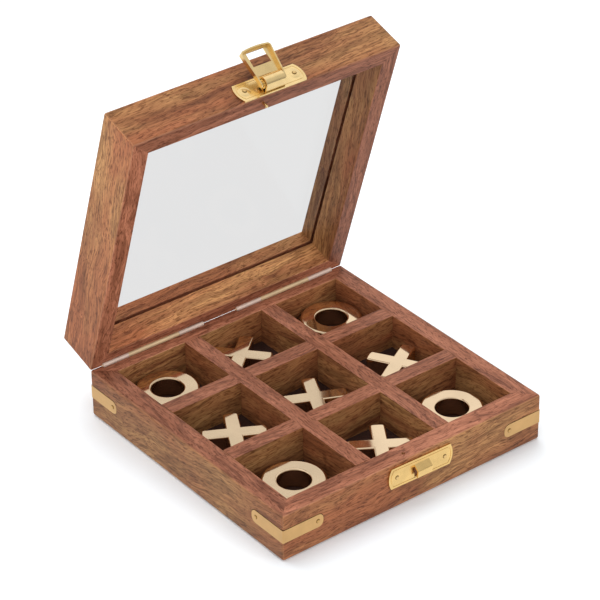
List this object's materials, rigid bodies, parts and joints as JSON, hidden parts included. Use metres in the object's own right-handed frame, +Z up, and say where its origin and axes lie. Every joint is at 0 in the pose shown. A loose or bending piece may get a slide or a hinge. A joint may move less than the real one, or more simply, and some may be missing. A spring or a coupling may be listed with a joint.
{
  "type": "boxed tic-tac-toe game",
  "caption": "Small hinged wooden case with a glazed lid and brass trim, divided into a grid of cells that hold nine loose noughts and crosses of polished brass.",
  "frame": {"origin": "middle of the base's underside, on the plane that the case rests on", "axes": "+Z up, -Y towards the front rail with the catch, +X to the right seen from the front; the lid stands open at 72.3 degrees from closed"},
  "size_m": [0.151, 0.1713, 0.1803],
  "materials": {
    "case_wood": "medium brown hardwood with dark streaks, satin lacquer",
    "polished_brass": "pale gold brass, polished like a mirror",
    "brass": "bright stamped brass, lightly lacquered",
    "lid_glass": "clear flat pane",
    "lining_cloth": "dark brown felt"
  },
  "bodies": {
    "base": {"base_front_rail": "case_wood", "base_back_rail": "case_wood", "base_left_rail": "case_wood", "base_right_rail": "case_wood", "bottom_panel": "case_wood", "floor_lining": "lining_cloth", "divider_left": "case_wood", "divider_right": "case_wood", "divider_front": "case_wood", "divider_back": "case_wood", "corner_bracket_front_left": "brass", "corner_bracket_front_right": "brass", "corner_bracket_back_left": "brass", "corner_bracket_back_right": "brass", "bracket_nails": "brass", "catch_plate": "brass", "catch_nails": "brass", "hinge_base_leaf_left": "brass", "hinge_base_leaf_right": "brass", "hinge_pin_left": "brass", "hinge_pin_right": "brass", "hinge_base_nails": "brass"},
    "lid": {"lid_front_rail": "case_wood", "lid_back_rail": "case_wood", "lid_left_stile": "case_wood", "lid_right_stile": "case_wood", "glass_pane": "lid_glass", "hinge_lid_leaf_left": "brass", "hinge_lid_leaf_right": "brass", "hinge_lid_nails": "brass", "latch_plate": "brass", "latch_nails": "brass", "lid_locating_pin": "brass"},
    "bail": {"latch_bail": "brass"},
    "nought_back_left": {"nought_back_left": "polished_brass"},
    "cross_back": {"cross_back": "polished_brass"},
    "nought_back_right": {"nought_back_right": "polished_brass"},
    "cross_left": {"cross_left": "polished_brass"},
    "cross_centre": {"cross_centre": "polished_brass"},
    "cross_right": {"cross_right": "polished_brass"},
    "nought_front_left": {"nought_front_left": "polished_brass"},
    "cross_front": {"cross_front": "polished_brass"},
    "nought_front_right": {"nought_front_right": "polished_brass"}
  },
  "joints": [
    {"name": "lid_hinge", "type": "hinge", "parent": "base", "child": "lid", "pos_m": [0, 0.073, 0.0244], "axis": [-1, 0, 0], "range_deg": [-72.3, 67.7]},
    {"name": "bail_pivot", "type": "hinge", "parent": "lid", "child": "bail", "pos_m": [0.0025, 0.0318, 0.16797], "axis": [1, 0, 0], "range_deg": [0, 160]},
    {"name": "lift_nought_back_left", "type": "slide", "parent": "base", "child": "nought_back_left", "axis": [0, 0, 1], "range_m": [0, 0.021]},
    {"name": "lift_cross_back", "type": "slide", "parent": "base", "child": "cross_back", "axis": [0, 0, 1], "range_m": [0, 0.021]},
    {"name": "lift_nought_back_right", "type": "slide", "parent": "base", "child": "nought_back_right", "axis": [0, 0, 1], "range_m": [0, 0.021]},
    {"name": "lift_cross_left", "type": "slide", "parent": "base", "child": "cross_left", "axis": [0, 0, 1], "range_m": [0, 0.021]},
    {"name": "lift_cross_centre", "type": "slide", "parent": "base", "child": "cross_centre", "axis": [0, 0, 1], "range_m": [0, 0.021]},
    {"name": "lift_cross_right", "type": "slide", "parent": "base", "child": "cross_right", "axis": [0, 0, 1], "range_m": [0, 0.021]},
    {"name": "lift_nought_front_left", "type": "slide", "parent": "base", "child": "nought_front_left", "axis": [0, 0, 1], "range_m": [0, 0.021]},
    {"name": "lift_cross_front", "type": "slide", "parent": "base", "child": "cross_front", "axis": [0, 0, 1], "range_m": [0, 0.021]},
    {"name": "lift_nought_front_right", "type": "slide", "parent": "base", "child": "nought_front_right", "axis": [0, 0, 1], "range_m": [0, 0.021]}
  ]
}
